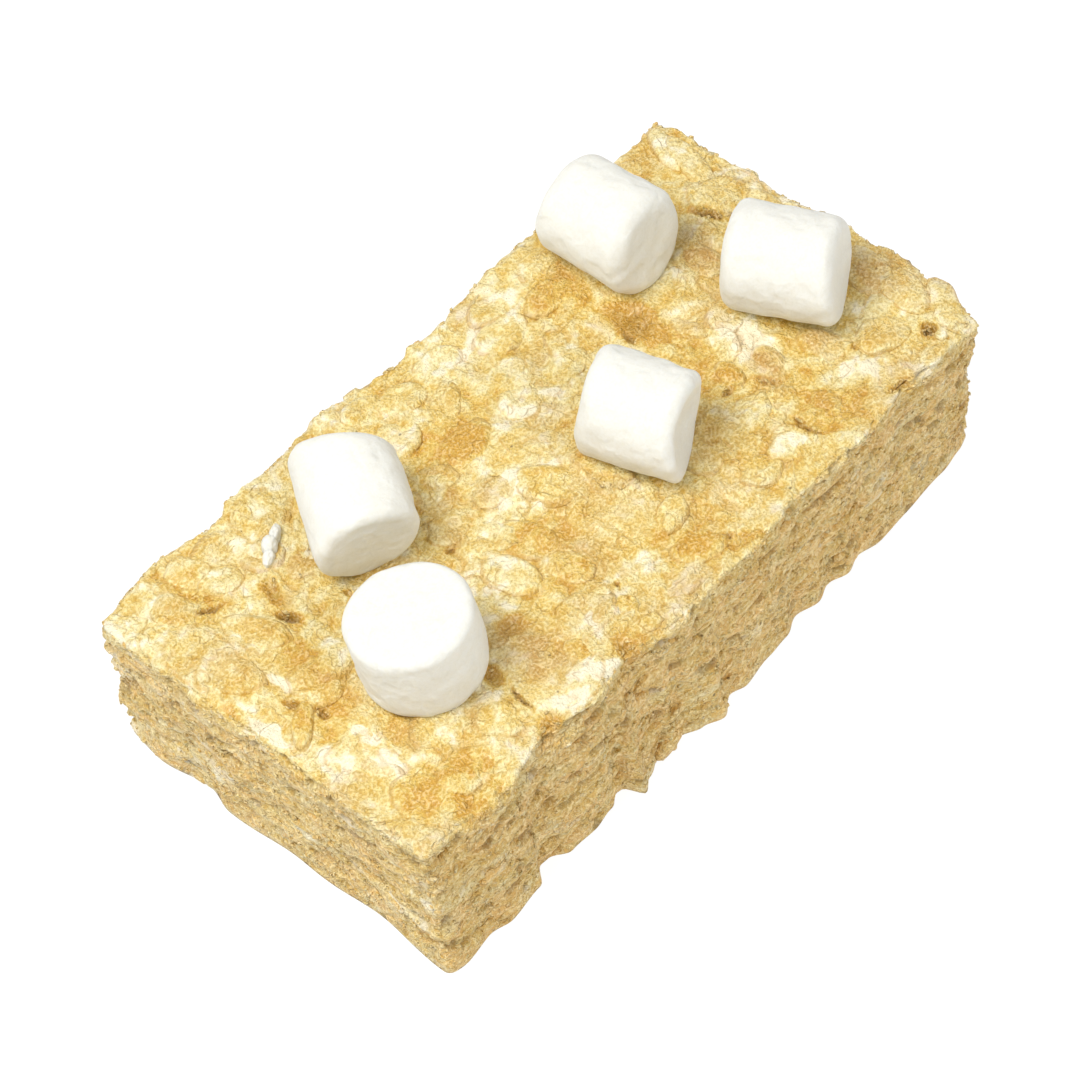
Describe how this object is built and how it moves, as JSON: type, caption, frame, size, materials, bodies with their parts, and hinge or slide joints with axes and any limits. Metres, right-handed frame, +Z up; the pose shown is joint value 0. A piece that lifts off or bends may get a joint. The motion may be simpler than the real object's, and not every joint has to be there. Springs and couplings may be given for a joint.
{
  "type": "crispy rice treat",
  "caption": "Cut bar of puffed rice bound with melted marshmallow, its pressed top strewn with mini marshmallows; it lies flat on its base.",
  "frame": {"origin": "under the middle of the whole treat, on the surface that the bar lies on", "axes": "+X along the bar's long side, +Y across the bar, +Z up out of the pressed top"},
  "size_m": [0.0832, 0.0454, 0.0293],
  "materials": {
    "crispy_rice": "puffed rice crisps in a thin marshmallow glaze, slightly glossy on the pressed top and dull on the cut sides",
    "marshmallow": "soft white, powdery and matt"
  },
  "bodies": {
    "root": {"crispy_bar": "crispy_rice", "mini_marshmallow_1": "marshmallow", "mini_marshmallow_2": "marshmallow", "mini_marshmallow_3": "marshmallow", "mini_marshmallow_4": "marshmallow", "mini_marshmallow_5": "marshmallow"}
  },
  "joints": []
}
